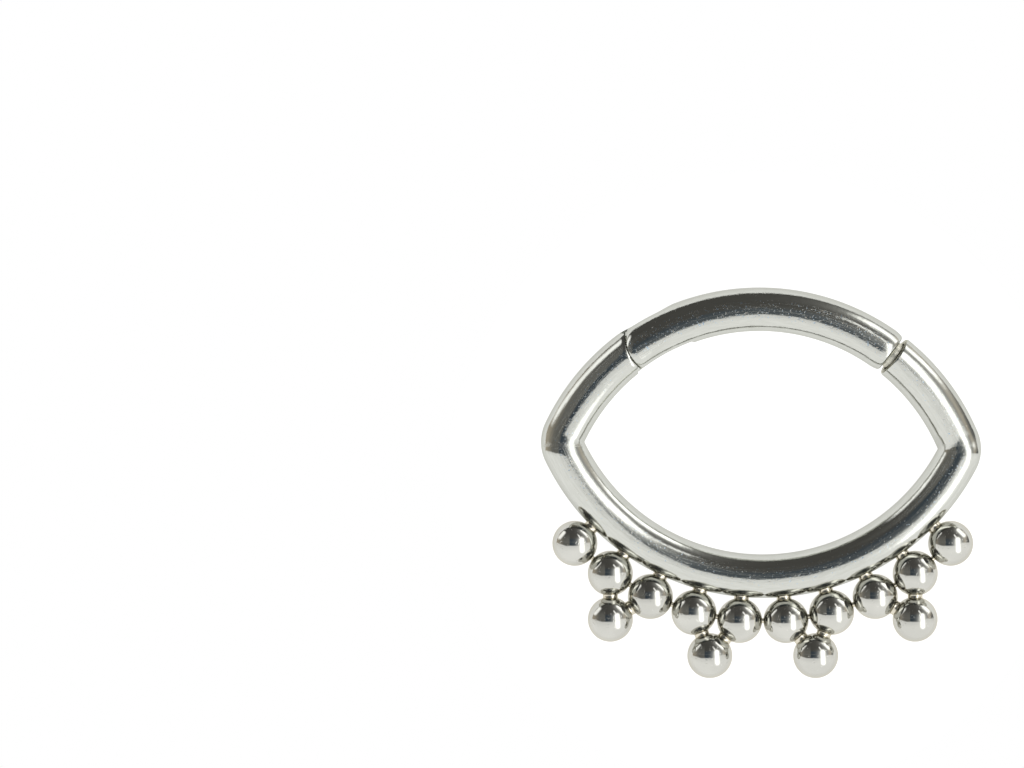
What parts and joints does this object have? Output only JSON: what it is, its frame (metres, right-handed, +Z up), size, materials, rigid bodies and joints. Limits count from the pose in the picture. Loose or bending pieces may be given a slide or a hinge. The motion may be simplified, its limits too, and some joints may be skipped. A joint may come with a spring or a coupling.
{
  "type": "clicker ring",
  "caption": "Eye-shaped hinged clicker ring for a piercing: bent round wire with soldered balls along its lower side and a hinged wire segment that clicks shut.",
  "frame": {"origin": "bottom centre of the whole closed ring's box, with the ring lying flat on its side", "axes": "+X to the wearer's right of the picture, from the hinge side to the latch side; +Y from the balls to the crown of the hinged segment; +Z up, out of the ring's plane, towards the viewer"},
  "size_m": [0.012, 0.0108, 0.0012],
  "materials": {
    "polished_steel": "mirror polished surgical steel, slightly warm",
    "dull_steel": "unpolished steel, satin"
  },
  "bodies": {
    "frame": {"ring_frame": "polished_steel"},
    "segment": {"hinged_segment": "polished_steel", "hinge_pin": "polished_steel", "latch_ball": "dull_steel"}
  },
  "joints": [
    {"name": "segment_hinge", "type": "hinge", "parent": "frame", "child": "segment", "pos_m": [-0.00288, 0.00402, 0.00062], "axis": [0, 0, 1], "range_deg": [0, 112]}
  ]
}
